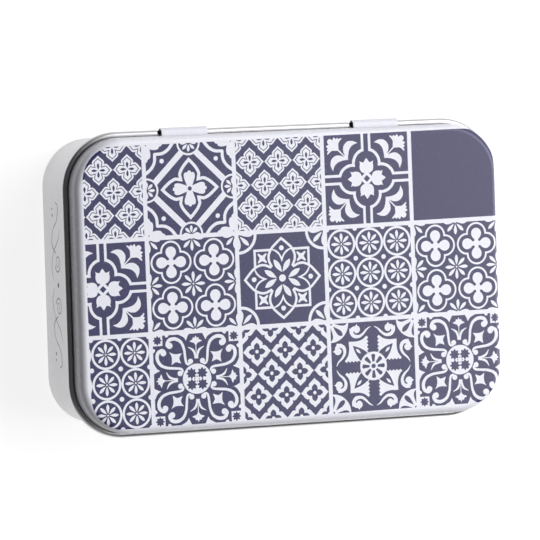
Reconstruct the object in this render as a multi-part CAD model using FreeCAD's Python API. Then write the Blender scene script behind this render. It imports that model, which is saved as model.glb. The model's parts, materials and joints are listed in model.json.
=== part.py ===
import FreeCAD, Part
import math
import os

# A hinged two-piece tin. The base is drawn from one tinplate blank and its mouth is rolled outward
# into a round bead. The lid is drawn from a second blank: it seats on the bead, plugs into the mouth
# and hangs on two tabs that are rolled round the bead at the back.
# Sizes are in millimetres. +Z is up, X runs along the long side, the hinge is at +Y and the front
# at -Y. The origin is at the centre of the underside.

# Outside of the tin, over the bead
BEAD_LENGTH = 146.8
BEAD_WIDTH = 96.4
BEAD_CORNER = 18.0

# Tinplate
SHEET = 0.28

# Base
BEAD_RADIUS = 1.15
BEAD_AXIS_HEIGHT = 29.0
CURL_GAP = 1.1
WALL_DRAFT = 1.25
FOOT_RADIUS = 2.0
STAND_WIDTH = 4.0
PANEL_RISE = 0.8
PANEL_RIM = 1.0

# Lid
LID_RISE = 9.0
SKIRT_SETBACK = 0.6
SHOULDER_RADIUS = 2.2
SHOULDER_RIM = 1.0
PLUG_CLEARANCE = 0.30
SEAT_CLEARANCE = 0.15
PLUG_DEPTH = 3.0

# Hinge: the tabs, and the slots in the back wall that let them turn
TAB_FROM_CORNER = 15.2
TAB_WIDTH = 15.4
TAB_TURN = 260.0
TAB_SLIT = 0.6
RUNNING_CLEARANCE = 0.36
SLOT_CLEARANCE = 0.35
END_PLAY = 0.4
NOTCH_WIDTH = 1.2
NOTCH_PAST_AXIS = 0.35
NOTCH_BELOW_AXIS = 0.3

# Values that follow from the sizes above
HALF_LENGTH = BEAD_LENGTH / 2
HALF_WIDTH = BEAD_WIDTH / 2
HEIGHT = BEAD_AXIS_HEIGHT + LID_RISE
CURL_TURN = 360 - math.degrees(CURL_GAP / BEAD_RADIUS)
SKIRT_INSET = BEAD_RADIUS + SKIRT_SETBACK
TAB_INNER_RADIUS = BEAD_RADIUS + RUNNING_CLEARANCE
TAB_OUTER_RADIUS = TAB_INNER_RADIUS + SHEET
SLOT_RADIUS = TAB_OUTER_RADIUS + SLOT_CLEARANCE
MITRE = SHEET * (math.sqrt(2) - 1)
UP = FreeCAD.Vector(0, 0, 1)
ORIGIN = FreeCAD.Vector(0, 0, 0)


def at(inset, height):
    """A point of a section: how far inside the bead's outline, and how high."""
    return FreeCAD.Vector(BEAD_CORNER - inset, 0, height)


def on_bead(radius, turn):
    """A point round the bead's axis: 0 degrees points into the tin, 90 up and 180 outward."""
    angle = math.radians(turn)
    return at(BEAD_RADIUS + radius * math.cos(angle), BEAD_AXIS_HEIGHT + radius * math.sin(angle))


def arc_on_bead(radius, start, end):
    """An arc round the bead's axis, between two turns in degrees."""
    middle = on_bead(radius, (start + end) / 2)
    return Part.Arc(on_bead(radius, start), middle, on_bead(radius, end))


def arc_about(centre, radius, start, end):
    """An arc of a section about a point, where 0 degrees points into the tin and 90 up."""

    def point(turn):
        angle = math.radians(turn)
        return centre + FreeCAD.Vector(-radius * math.cos(angle), 0, radius * math.sin(angle))

    return Part.Arc(point(start), point((start + end) / 2), point(end))


def section(parts):
    """The flat face inside a closed run of arcs and points, each joined to the next by a line."""
    starts = [part.StartPoint if isinstance(part, Part.Arc) else part for part in parts]
    ends = [part.EndPoint if isinstance(part, Part.Arc) else part for part in parts]
    edges = []
    for number, part in enumerate(parts):
        if isinstance(part, Part.Arc):
            edges.append(part.toShape())
        following = starts[(number + 1) % len(parts)]
        if ends[number].distanceToPoint(following) > Part.Precision.confusion():
            edges.append(Part.LineSegment(ends[number], following).toShape())
    return Part.Face(Part.Wire(edges))


def corner_centres():
    """The centres of the four corners, counter-clockwise from +X +Y."""
    across = HALF_LENGTH - BEAD_CORNER
    along = HALF_WIDTH - BEAD_CORNER
    return [FreeCAD.Vector(x * across, y * along, 0) for x, y in ((1, 1), (-1, 1), (-1, -1), (1, -1))]


def placed(face, turn, centre):
    """A copy of a section, turned about the vertical and set at a corner."""
    copy = face.copy()
    copy.rotate(ORIGIN, UP, turn)
    copy.translate(centre)
    return copy


def carried_round(face):
    """A section carried round the whole tin: turned at the corners and drawn along the sides."""
    centres = corner_centres()
    solids = []
    for number, centre in enumerate(centres):
        following = centres[(number + 1) % len(centres)]
        solids.append(placed(face, 90 * number, centre).revolve(centre, UP, 90))
        solids.append(placed(face, 90 * (number + 1), centre).extrude(following - centre))
    return solids


def slab(inset, bottom):
    """A flat sheet that fills the outline at the given inset."""
    radius = BEAD_CORNER - inset
    edges = []
    centres = corner_centres()
    for number, centre in enumerate(centres):
        following = centres[(number + 1) % len(centres)]
        points = []
        for turn in (90 * number, 90 * number + 45, 90 * number + 90):
            angle = math.radians(turn)
            spoke = FreeCAD.Vector(radius * math.cos(angle), radius * math.sin(angle), bottom)
            points.append(centre + spoke)
        edges.append(Part.Arc(*points).toShape())
        edges.append(Part.LineSegment(points[-1], points[-1] + following - centre).toShape())
    return Part.Face(Part.Wire(edges)).extrude(UP * SHEET)


def one_solid(solids):
    """The pieces of one blank joined, with no seams left between them."""
    return solids[0].multiFuse(solids[1:]).removeSplitter()


def along_back(face, start, end):
    """A section drawn along the straight back of the tin, from one X to another."""
    centre = FreeCAD.Vector(start, HALF_WIDTH - BEAD_CORNER, 0)
    return placed(face, 90, centre).extrude(FreeCAD.Vector(end - start, 0, 0))


def back_block(start, end, outer, inner, bottom, top):
    """A block across the back wall, between two X, two insets and two heights."""
    corner = FreeCAD.Vector(start, HALF_WIDTH - inner, bottom)
    return Part.makeBox(end - start, inner - outer, top - bottom, corner)


def tab_centres():
    """The X of the middle of each hinge tab, set back from the ends of the straight back."""
    middle = HALF_LENGTH - BEAD_CORNER - TAB_FROM_CORNER - TAB_WIDTH / 2
    return [-middle, middle]


def curl_section():
    """The rolled edge by itself: an open ring of sheet."""
    outside = arc_on_bead(BEAD_RADIUS, 0, CURL_TURN)
    inside = arc_on_bead(BEAD_RADIUS - SHEET, CURL_TURN, 0)
    return section([outside, inside])


def wall_section():
    """Foot, drafted wall and curl of the base, out to the edge of its raised bottom panel."""
    draft = math.radians(WALL_DRAFT)
    wall_inner = 2 * BEAD_RADIUS
    wall_outer = wall_inner - SHEET
    wall_at_floor = wall_outer + BEAD_AXIS_HEIGHT * math.tan(draft)
    foot_inset = wall_at_floor + FOOT_RADIUS * (1 - math.sin(draft)) / math.cos(draft)
    foot = at(foot_inset, FOOT_RADIUS)
    wall_turn = 180 + WALL_DRAFT
    step = foot_inset + STAND_WIDTH
    panel = step + PANEL_RISE
    rim = panel + PANEL_RIM
    parts = [
        at(rim, PANEL_RISE),
        at(panel, PANEL_RISE),
        at(step, 0),
        arc_about(foot, FOOT_RADIUS, 270, wall_turn),
        arc_on_bead(BEAD_RADIUS - SHEET, 0, CURL_TURN),
        arc_on_bead(BEAD_RADIUS, CURL_TURN, 0),
        arc_about(foot, FOOT_RADIUS - SHEET, wall_turn, 270),
        at(step - MITRE, SHEET),
        at(panel - MITRE, PANEL_RISE + SHEET),
        at(rim, PANEL_RISE + SHEET),
    ]
    return section(parts), rim


def make_base():
    """The drawn base: tray, bead, and the two hinge bars with the slots under them."""
    face, rim = wall_section()
    base = one_solid(carried_round(face) + [slab(rim, PANEL_RISE)])
    slot_bottom = BEAD_AXIS_HEIGHT - SLOT_RADIUS
    slot_top = BEAD_AXIS_HEIGHT + SLOT_RADIUS
    slot_inner = 2 * BEAD_RADIUS + SLOT_RADIUS
    for middle in tab_centres():
        start = middle - TAB_WIDTH / 2 - NOTCH_WIDTH
        end = middle + TAB_WIDTH / 2 + END_PLAY
        slot = back_block(start, end, -SLOT_RADIUS, slot_inner, slot_bottom, slot_top)
        bar = along_back(curl_section(), start, end)
        notch_inner = BEAD_RADIUS + NOTCH_PAST_AXIS
        notch_floor = BEAD_AXIS_HEIGHT - NOTCH_BELOW_AXIS
        notch = back_block(start, start + NOTCH_WIDTH, -SLOT_RADIUS, notch_inner, notch_floor, slot_top)
        base = base.cut(slot).fuse(bar.cut(notch))
    return base.removeSplitter()


def lid_section():
    """Panel edge, shoulder, skirt, joggle and plug of the lid."""
    plug_inset = 2 * BEAD_RADIUS + PLUG_CLEARANCE
    joggle = plug_inset - SKIRT_INSET
    joggle_top = BEAD_AXIS_HEIGHT + math.sqrt(2) * (BEAD_RADIUS + SEAT_CLEARANCE) - SKIRT_SETBACK
    plug_bottom = BEAD_AXIS_HEIGHT - PLUG_DEPTH
    shoulder = at(SKIRT_INSET + SHOULDER_RADIUS, HEIGHT - SHOULDER_RADIUS)
    rim = SKIRT_INSET + SHOULDER_RADIUS + SHOULDER_RIM
    parts = [
        at(rim, HEIGHT),
        arc_about(shoulder, SHOULDER_RADIUS, 90, 180),
        at(SKIRT_INSET, joggle_top),
        at(plug_inset, joggle_top - joggle),
        at(plug_inset, plug_bottom),
        at(plug_inset + SHEET, plug_bottom),
        at(plug_inset + SHEET, joggle_top - joggle + MITRE),
        at(SKIRT_INSET + SHEET, joggle_top + MITRE),
        arc_about(shoulder, SHOULDER_RADIUS - SHEET, 180, 90),
        at(rim, HEIGHT - SHEET),
    ]
    return section(parts), rim


def tab_section():
    """A hinge tab: a flange out from the skirt's foot, then a roll round the bead."""
    flange_bottom = BEAD_AXIS_HEIGHT + TAB_INNER_RADIUS
    flange_top = BEAD_AXIS_HEIGHT + TAB_OUTER_RADIUS
    end = 90 + TAB_TURN
    parts = [
        at(SKIRT_INSET + SHEET, flange_top),
        at(SKIRT_INSET + SHEET, flange_bottom),
        arc_on_bead(TAB_INNER_RADIUS, 90, end),
        arc_on_bead(TAB_OUTER_RADIUS, end, 90),
    ]
    return section(parts)


def make_lid():
    """The drawn lid, with its plug cut away at the two tabs that are rolled round the bead."""
    face, rim = lid_section()
    lid = one_solid(carried_round(face) + [slab(rim, HEIGHT - SHEET)])
    gap_top = BEAD_AXIS_HEIGHT + TAB_OUTER_RADIUS
    gap_bottom = BEAD_AXIS_HEIGHT - PLUG_DEPTH - SHEET
    gap_inner = 2 * BEAD_RADIUS + PLUG_CLEARANCE + 2 * SHEET
    for middle in tab_centres():
        start = middle - TAB_WIDTH / 2
        end = middle + TAB_WIDTH / 2
        gap = back_block(start - TAB_SLIT, end + TAB_SLIT, 0, gap_inner, gap_bottom, gap_top)
        lid = lid.cut(gap).fuse(along_back(tab_section(), start, end))
    return lid.removeSplitter()


os.makedirs("parts", exist_ok=True)
for name, shape in (("base", make_base()), ("lid", make_lid())):
    solid = shape.Solids[0]
    assert len(shape.Solids) == 1 and solid.isValid(), name
    solid.exportStep(f"parts/{name}.step")
    box = solid.optimalBoundingBox()
    size = f"{box.XLength:.2f} x {box.YLength:.2f} x {box.ZLength:.2f} mm"
    print(f"{name}: {solid.Volume:.1f} mm3, {len(solid.Faces)} faces, {size}")
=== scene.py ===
import json
import logging
import math
from dataclasses import dataclass, field
from enum import Enum
from typing import Any, Callable

import bpy
import numpy as np
from mathutils import Matrix, Vector
from mathutils.geometry import delaunay_2d_cdt


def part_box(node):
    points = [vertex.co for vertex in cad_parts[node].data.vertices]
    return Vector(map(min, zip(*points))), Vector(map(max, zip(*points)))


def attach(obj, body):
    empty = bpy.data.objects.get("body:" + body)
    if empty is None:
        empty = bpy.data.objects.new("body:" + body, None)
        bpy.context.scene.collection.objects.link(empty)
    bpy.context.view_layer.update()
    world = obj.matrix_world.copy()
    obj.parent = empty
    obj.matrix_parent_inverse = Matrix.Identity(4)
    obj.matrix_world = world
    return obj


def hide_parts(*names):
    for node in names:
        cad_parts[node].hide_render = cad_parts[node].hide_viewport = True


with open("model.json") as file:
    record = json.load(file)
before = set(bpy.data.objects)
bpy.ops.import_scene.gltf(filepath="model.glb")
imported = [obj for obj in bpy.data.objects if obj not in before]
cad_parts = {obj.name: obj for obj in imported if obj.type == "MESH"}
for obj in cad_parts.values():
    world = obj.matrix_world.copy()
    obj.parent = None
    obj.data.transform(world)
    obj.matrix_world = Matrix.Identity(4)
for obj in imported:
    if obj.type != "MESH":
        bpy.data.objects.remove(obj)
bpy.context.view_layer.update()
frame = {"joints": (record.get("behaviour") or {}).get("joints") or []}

# The tin's sizes are in millimetres and the scene is in metres.
MM = 0.001
LOG = logging.getLogger("tin")

# Flat curves: every one is an array of (x, y) points, or of (inset, height) points for a section


def arc(centre: tuple[float, float], radius: float, start: float, end: float, steps: int) -> np.ndarray:
    """Points of a circular arc: centre + radius * (cos, sin) of evenly spaced angles.

    Args:
        centre: The circle's centre.
        radius: Its radius.
        start: First angle in degrees.
        end: Last angle in degrees.
        steps: Number of chords.

    Returns:
        An array of steps + 1 points.
    """
    angles = np.radians(np.linspace(start, end, steps + 1))
    return np.array(centre) + radius * np.stack([np.cos(angles), np.sin(angles)], -1)


def circle(radius: float, centre: tuple[float, float] = (0.0, 0.0), steps: int = 32) -> np.ndarray:
    """A closed circle, without its repeated last point."""
    return arc(centre, radius, 0.0, 360.0, steps)[:-1]


def curve(points: list[tuple[float, float]], steps: int = 5) -> np.ndarray:
    """A smooth open curve through points: uniform Catmull-Rom cubics with the ends carried straight on.

    Args:
        points: The points it passes through.
        steps: Chords between two of them.

    Returns:
        An array of (len(points) - 1) * steps + 1 points.
    """
    p = np.array(points, float)
    p = np.vstack([2 * p[0] - p[1], p, 2 * p[-1] - p[-2]])
    a, b, c, d = (p[k:len(p) - 3 + k, None, :] for k in range(4))
    t = np.linspace(0.0, 1.0, steps, endpoint=False)[None, :, None]
    line = 0.5 * (2 * b + (c - a) * t + (2 * a - 5 * b + 4 * c - d) * t**2 + (3 * (b - c) + d - a) * t**3)
    return np.vstack([line.reshape(-1, 2), p[-2]])


def joined(*runs: list[tuple[float, float]], steps: int = 4) -> np.ndarray:
    """Smooth curves laid end to end, with a corner where two meet."""
    return np.vstack([curve(run, steps) for run in runs])


def bent(corners: list[tuple[float, float]], radius: float, steps: int = 5) -> np.ndarray:
    """Straight runs joined by tangent arcs, as a folded sheet is.

    An arc at a corner has its centre on the bisector, radius / cos(turn / 2) from the corner, and its
    points are centre - radius * (cos * bisector - sin * chord) for angles within half the turn.

    Args:
        corners: The corner points, with the two free ends.
        radius: The bend radius.
        steps: Chords in each bend.

    Returns:
        The points of the run.
    """
    p = np.array(corners, float)
    way = np.diff(p, axis=0)
    way /= np.linalg.norm(way, axis=1, keepdims=True)
    bisector, chord = way[1:] - way[:-1], way[1:] + way[:-1]
    half = np.arctan2(np.linalg.norm(bisector, axis=1), np.linalg.norm(chord, axis=1))[:, None]
    bisector /= np.linalg.norm(bisector, axis=1, keepdims=True)
    chord /= np.linalg.norm(chord, axis=1, keepdims=True)
    centre = p[1:-1] + bisector * radius / np.cos(half)
    angle = (half * np.linspace(-1.0, 1.0, steps + 1))[..., None]
    spoke = np.cos(angle) * bisector[:, None] - np.sin(angle) * chord[:, None]
    bends = centre[:, None] - radius * spoke
    return np.vstack([p[:1], bends.reshape(-1, 2), p[-1:]])


def offset(line: np.ndarray, distance: float, closed: bool = False) -> np.ndarray:
    """A line moved to its left by a distance, with mitred corners.

    A corner moves by distance * (n0 + n1) / (1 + n0 . n1), with n0 and n1 the left normals beside it.

    Args:
        line: The points.
        distance: How far; negative is to the right.
        closed: Whether the last point joins the first.

    Returns:
        The moved points.
    """
    way = np.diff(line, axis=0, append=line[:1])
    way = way if closed else np.vstack([way[:-1], way[-2:-1]])
    normal = np.stack([-way[:, 1], way[:, 0]], -1) / np.linalg.norm(way, axis=1, keepdims=True)
    before = np.roll(normal, 1, axis=0)
    if not closed:
        before[0] = normal[0]
    mitre = (before + normal) / (1.0 + (before * normal).sum(1, keepdims=True))
    return line + distance * mitre


# Outlines of the printed ornament


def turned(shapes: np.ndarray, count: int, start: float = 0.0) -> np.ndarray:
    """Copies of a stack of outlines, spaced evenly round the origin.

    Args:
        shapes: One outline or a stack of them.
        count: Copies of each.
        start: Turn of the first copy in degrees.

    Returns:
        A stack of outlines.
    """
    angle = np.radians(start) + np.arange(count) * 2 * np.pi / count
    turn = np.array([[np.cos(angle), np.sin(angle)], [-np.sin(angle), np.cos(angle)]]).transpose(2, 0, 1)
    stack = shapes.reshape(-1, *shapes.shape[-2:])
    return np.einsum("snc,kcd->ksnd", stack, turn).reshape(-1, *shapes.shape[-2:])


def both_hands(shape: np.ndarray) -> np.ndarray:
    """An outline and its mirror image in x, as a stack."""
    return np.stack([shape, shape[::-1] * (-1, 1)])


def eightfold(shape: np.ndarray) -> np.ndarray:
    """An outline repeated with the eight symmetries of a square."""
    return turned(both_hands(shape), 4)


def across(shape: np.ndarray) -> np.ndarray:
    """An outline and its mirror image in x = y, as a stack."""
    return np.stack([shape, shape[::-1, ::-1]])


def placed(shapes: np.ndarray, places: np.ndarray) -> np.ndarray:
    """Copies of an outline or of a stack of them, moved to each place."""
    stack = shapes.reshape(-1, 1, *shapes.shape[-2:])
    return (stack + places[:, None]).reshape(-1, *shapes.shape[-2:])


def grid(count: int, step: float) -> np.ndarray:
    """Places of a square grid, count by count, about the origin."""
    line = (np.arange(count) - (count - 1) / 2) * step
    return np.stack(np.meshgrid(line, line, indexing="ij"), -1).reshape(-1, 2)


def whole(half: np.ndarray) -> np.ndarray:
    """A closed outline from its right half, which starts and ends on x = 0."""
    return np.vstack([half, half[-2:0:-1] * (-1, 1)])


def mirrored(half: np.ndarray) -> np.ndarray:
    """A line run on by its mirror image in x = y, from its end on that diagonal back to its start."""
    return np.vstack([half, half[-2:0:-1, ::-1]])


def foil(half_lobe: np.ndarray) -> np.ndarray:
    """A closed four-lobed outline from half a lobe, given from its tip on +y to the notch on x = y."""
    turns = np.array([[[1, 0], [0, 1]], [[0, -1], [1, 0]], [[-1, 0], [0, -1]], [[0, 1], [-1, 0]]])
    return np.einsum("nc,kcd->knd", mirrored(half_lobe), turns).reshape(-1, 2)


def facing(outline: np.ndarray) -> np.ndarray:
    """A closed outline run counter-clockwise."""
    x, y = outline.T
    return outline if np.sum(x * np.roll(y, -1) - y * np.roll(x, -1)) > 0 else outline[::-1]


def inset(outline: np.ndarray, distance: float) -> np.ndarray:
    """A closed outline drawn in by a distance."""
    return offset(facing(outline), distance, closed=True)


def leaf(base: float, tip: float, width: float, peak: float = 0.5, blunt: float = 1.0) -> np.ndarray:
    """A leaf along +y: half width * sin(pi * t**k)**blunt, with k set so that it is widest at the peak.

    Args:
        base: Where it starts on y.
        tip: Where it ends on y.
        width: Its greatest width.
        peak: Share of the length at which it is widest.
        blunt: Below 1 rounds both ends, above 1 draws them out.

    Returns:
        A closed outline.
    """
    t = (1 - np.cos(np.linspace(0.0, np.pi, 11))) / 2
    side = width / 2 * np.sin(np.pi * t ** (math.log(0.5) / math.log(peak))) ** blunt
    return whole(np.stack([side, base + (tip - base) * t], -1))


def stroke(points: list[tuple[float, float]], widths: list[float], steps: int = 5) -> np.ndarray:
    """A brush stroke: a smooth centre line with half the width set off along its normal on both sides.

    Args:
        points: The points that the centre line passes through.
        widths: The stroke's width at each of them.
        steps: Chords between two points.

    Returns:
        A closed outline.
    """
    line = curve(points, steps)
    way = np.gradient(line, axis=0)
    normal = np.stack([-way[:, 1], way[:, 0]], -1) / np.linalg.norm(way, axis=1, keepdims=True)
    half = np.interp(np.arange(len(line)) / steps, np.arange(len(points)), widths)[:, None] / 2
    return np.vstack([line + normal * half, (line - normal * half)[::-1]])


def fine(outline: np.ndarray, step: float) -> np.ndarray:
    """A closed outline with each edge divided evenly into pieces no longer than a step.

    Args:
        outline: The closed outline.
        step: The longest piece.

    Returns:
        The outline with the added points.
    """
    way = np.roll(outline, -1, axis=0) - outline
    pieces = np.maximum(np.ceil(np.linalg.norm(way, axis=1) / step).astype(int), 1)
    edge = np.repeat(np.arange(len(outline)), pieces)
    share = (np.arange(len(edge)) - (np.cumsum(pieces) - pieces)[edge]) / pieces[edge]
    return outline[edge] + way[edge] * share[:, None]


def diamond(reach: float) -> np.ndarray:
    """A square stood on its corner."""
    return np.array([(0.0, reach), (reach, 0.0), (0.0, -reach), (-reach, 0.0)])


def block(x0: float, y0: float, x1: float, y1: float) -> np.ndarray:
    """An upright rectangle between two corners."""
    return np.array([(x0, y0), (x1, y0), (x1, y1), (x0, y1)])


class Ink(Enum):
    """What a printed outline leaves on the white ground."""

    BARE = 0
    BLUE = 1


@dataclass
class Drawing:
    """Outlines in the order they are laid down: each covers what lies under it."""

    outlines: list[np.ndarray] = field(default_factory=list)
    inks: list[Ink] = field(default_factory=list)

    def lay(self, ink: Ink, *shapes: np.ndarray) -> "Drawing":
        """Adds outlines or stacks of them in one ink.

        Args:
            ink: What they leave on the ground.
            *shapes: The outlines.

        Returns:
            The drawing itself.
        """
        for shape in shapes:
            stack = list(shape) if shape.ndim == 3 else [shape]
            self.outlines += stack
            self.inks += [ink] * len(stack)
        return self

    def white(self, *shapes: np.ndarray) -> "Drawing":
        """Adds shapes that leave the ground bare."""
        return self.lay(Ink.BARE, *shapes)

    def blue(self, *shapes: np.ndarray) -> "Drawing":
        """Adds shapes filled with blue."""
        return self.lay(Ink.BLUE, *shapes)


@dataclass(frozen=True)
class TileBook:
    """The tile motifs, each drawn about its tile's centre with y towards the hinge.

    Every tile is a blue square with white ornament. The places below are in millimetres.
    """

    half: float = 14.33
    line: float = 0.75

    def lattice(self) -> np.ndarray:
        """Centres of staggered flowers: three to a tile across, and a row each quarter of its height.

        Returns:
            The places.
        """
        step, row = 2 * self.half / 3, self.half / 2
        full = [(x * step, y * row) for y in (-1, 1) for x in (-1, 0, 1)]
        shifted = [((x - 0.5) * step, y * row) for y in (-2, 0, 2) for x in (-1, 0, 1, 2)]
        return np.array(full + shifted)

    def pointed_foil(self) -> np.ndarray:
        """A flower outline of four pointed lobes."""
        return foil(curve([(0.0, 4.7), (0.75, 3.95), (1.5, 3.35), (2.0, 2.65), (1.9, 1.9)], 3))

    def daisy(self, inner: float, outer: float, width: float) -> np.ndarray:
        """Eight petals round a centre."""
        return turned(leaf(inner, outer, width, peak=0.62, blunt=0.7), 8)

    def fine_lattice(self) -> Drawing:
        """Pointed flowers with a fine inner line and a small cross.

        Returns:
            Its outlines in the order they are laid.
        """
        places, flower = self.lattice(), self.pointed_foil()
        cross = turned(leaf(0.25, 2.3, 0.82, peak=0.6, blunt=0.75), 4)
        drawing = Drawing().white(placed(flower, places)).blue(placed(inset(flower, 0.55), places))
        return drawing.white(placed(inset(flower, 0.8), places)).blue(placed(cross, places))

    def bold_lattice(self) -> Drawing:
        """Pointed flowers with a blue four-petal flower and a white centre.

        Returns:
            Its outlines in the order they are laid.
        """
        places = self.lattice()
        petals = turned(leaf(-0.8, 2.8, 2.0, peak=0.62, blunt=0.75), 4)
        drawing = Drawing().white(placed(self.pointed_foil(), places)).blue(placed(petals, places))
        return drawing.white(placed(circle(0.58, steps=14), places))

    def rings(self) -> Drawing:
        """Nine rings with a daisy in each and dots between them.

        Returns:
            Its outlines in the order they are laid.
        """
        step = 2 * self.half / 3
        places = grid(3, step)
        drawing = Drawing().white(placed(circle(step / 2, steps=40), places))
        drawing.blue(placed(circle(step / 2 - self.line, steps=40), places))
        drawing.white(placed(self.daisy(0.5, 3.5, 1.02), places), placed(circle(0.3, steps=10), places))
        return drawing.white(placed(circle(0.78, steps=16), grid(4, step)))

    def clovers(self) -> Drawing:
        """Four clovers, each in a ring, with daisies between them.

        Returns:
            Its outlines in the order they are laid.
        """
        places, corners = grid(2, self.half), grid(3, self.half)
        edge, gap, clover = (turned(circle(radius, (0.0, reach)), 4)
                             for radius, reach in ((3.5, 3.33), (2.88, 3.33), (1.75, 3.22)))
        arm = np.vstack([arc((0.0, 1.55), 0.46, 180.0, 360.0, 8), [(0.46, 3.2), (-0.46, 3.2)]])
        drawing = Drawing().white(placed(edge, places))
        drawing.blue(placed(gap, places), placed(block(-3.0, -3.0, 3.0, 3.0), places))
        drawing.white(placed(clover, places), placed(circle(2.5), places))
        drawing.blue(placed(turned(arm, 4, 45.0), places))
        drawing.white(placed(self.daisy(0.55, 3.95, 1.1), corners))
        return drawing.white(placed(circle(0.3, steps=10), corners))

    def star(self) -> Drawing:
        """An interlaced star: four pointed lobes over a square, with a leaf flower inside.

        Returns:
            Its outlines in the order they are laid.
        """
        lobe = [(0.0, 13.15), (1.9, 11.55), (3.75, 9.7), (4.75, 7.6), (4.75, 5.7), (4.1, 4.1)]
        lobes = foil(curve(lobe, 4))
        fold = joined([(3.9, 9.35), (2.2, 8.5), (0.9, 7.2), (0.0, 5.1)],
                      [(0.0, 5.1), (-0.9, 7.2), (-2.2, 8.5), (-3.9, 9.35)],
                      [(-3.2, 9.4), (-1.9, 9.0), (-0.75, 8.0), (0.0, 6.7)],
                      [(0.0, 6.7), (0.75, 8.0), (1.9, 9.0), (3.2, 9.4)], steps=5)
        spark = foil(curve([(0.0, 2.15), (0.3, 1.75), (0.42, 1.1), (0.62, 0.62)], 3))
        petal = turned(leaf(0.0, 4.85, 1.75, peak=0.55, blunt=0.85), 1, -33.0)[0] + (0.12, 1.95)
        corners = grid(2, 2 * self.half)
        drawing = Drawing().white(block(-9.5, -9.5, 9.5, 9.5)).blue(block(-8.72, -8.72, 8.72, 8.72))
        drawing.white(placed(turned(spark, 1, 45.0), grid(2, 13.2)))
        drawing.white(lobes).blue(inset(lobes, 0.78), circle(5.0))
        drawing.white(turned(fold, 4), eightfold(petal), circle(1.15))
        drawing.white(turned(circle(0.8, (0.0, 9.6), 18), 4))
        drawing.white(placed(circle(6.1, steps=48), corners))
        drawing.blue(placed(circle(5.15, steps=48), corners))
        return drawing.white(placed(self.daisy(0.6, 4.8, 1.35), corners))

    def rosette_diamond(self) -> Drawing:
        """A broad diamond with half rosettes at its corners and a flower in a pointed frame.

        Returns:
            Its outlines in the order they are laid.
        """
        pointed = foil(curve([(0.0, 9.8), (1.55, 8.2), (2.9, 6.5), (3.65, 4.8), (3.5, 3.5)], 4))
        half_petal = joined(
            [(0.0, 5.7), (0.45, 5.5), (0.68, 5.0)],
            [(0.68, 5.0), (1.1, 5.15), (1.7, 4.8), (1.85, 4.0), (1.7, 3.1), (1.3, 2.0), (0.9, 0.9)])
        petal = whole(np.vstack([half_petal, [(0.0, 0.0)]]))
        bracket = stroke([(4.9, 15.0), (6.6, 12.75), (8.7, 11.45), (11.5, 11.25)], [1.1, 1.0, 1.0, 0.95])
        blade = joined(
            [(14.2, 14.9), (13.6, 13.3), (12.2, 12.75), (10.9, 12.65), (10.0, 13.0), (9.7, 13.6)],
            [(9.7, 13.6), (9.2, 13.7), (8.7, 14.2), (8.6, 14.9)])
        middles = diamond(self.half)
        drawing = Drawing().white(diamond(15.25)).blue(diamond(12.5))
        drawing.white(placed(circle(3.9, steps=40), middles))
        drawing.blue(placed(circle(3.28, steps=40), middles))
        drawing.white(placed(self.daisy(0.45, 2.75, 0.95), middles))
        drawing.white(pointed).blue(inset(pointed, 0.98)).white(turned(petal, 4))
        drawing.blue(circle(0.68, steps=20)).white(turned(circle(0.74, (9.05, 9.0), 16), 4))
        return drawing.white(turned(across(bracket), 4), turned(across(blade), 4))

    def tulip_cross(self) -> Drawing:
        """A four-lobed frame with channels to the edges, four tulips inside and sprays in the corners.

        Returns:
            Its outlines in the order they are laid.
        """
        edge, inside = (turned(circle(radius, (0.0, 4.9), 44), 4) for radius in (4.9, 3.95))
        tulip = whole(joined(
            [(0.0, 6.55), (0.5, 5.9), (0.95, 5.15)], [(0.95, 5.15), (1.6, 5.25), (2.4, 5.6)],
            [(2.4, 5.6), (2.2, 4.9), (2.35, 3.9), (2.15, 2.75), (1.4, 1.95), (0.0, 1.6)]))
        crescent = joined(
            [(2.8, 11.45), (4.6, 12.2), (6.4, 12.0), (7.65, 10.6), (7.75, 9.0), (7.1, 7.4), (6.2, 6.2)],
            [(6.2, 6.2), (6.15, 7.6), (5.6, 9.6), (4.4, 10.9), (2.8, 11.45)], steps=5)
        cup = curve([(9.3, 9.3), (9.35, 10.6), (9.25, 11.8), (8.1, 13.2)], 4)
        frill = joined([(8.1, 13.2), (8.75, 13.25), (9.15, 12.85)],
                       [(9.15, 12.85), (9.7, 13.4), (10.2, 12.95)],
                       [(10.2, 12.95), (10.85, 13.6), (11.35, 12.7)],
                       [(11.35, 12.7), (12.2, 13.2), (12.9, 12.9)], steps=3)
        spray = mirrored(np.vstack([cup, frill]))
        stem = stroke([(6.6, 6.6), (8.0, 8.0), (9.7, 9.7)], [0.75, 0.34, 0.5])
        drawing = Drawing().white(turned(block(-1.65, 4.0, 1.65, 15.0), 4), edge)
        drawing.blue(turned(block(-0.78, 4.0, 0.78, 15.0), 4), inside, block(-4.0, -4.0, 4.0, 4.0))
        drawing.white(diamond(2.45), turned(tulip, 4)).blue(diamond(1.12))
        return drawing.white(turned(across(crescent), 4), turned(spray, 4), turned(stem, 4))

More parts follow.
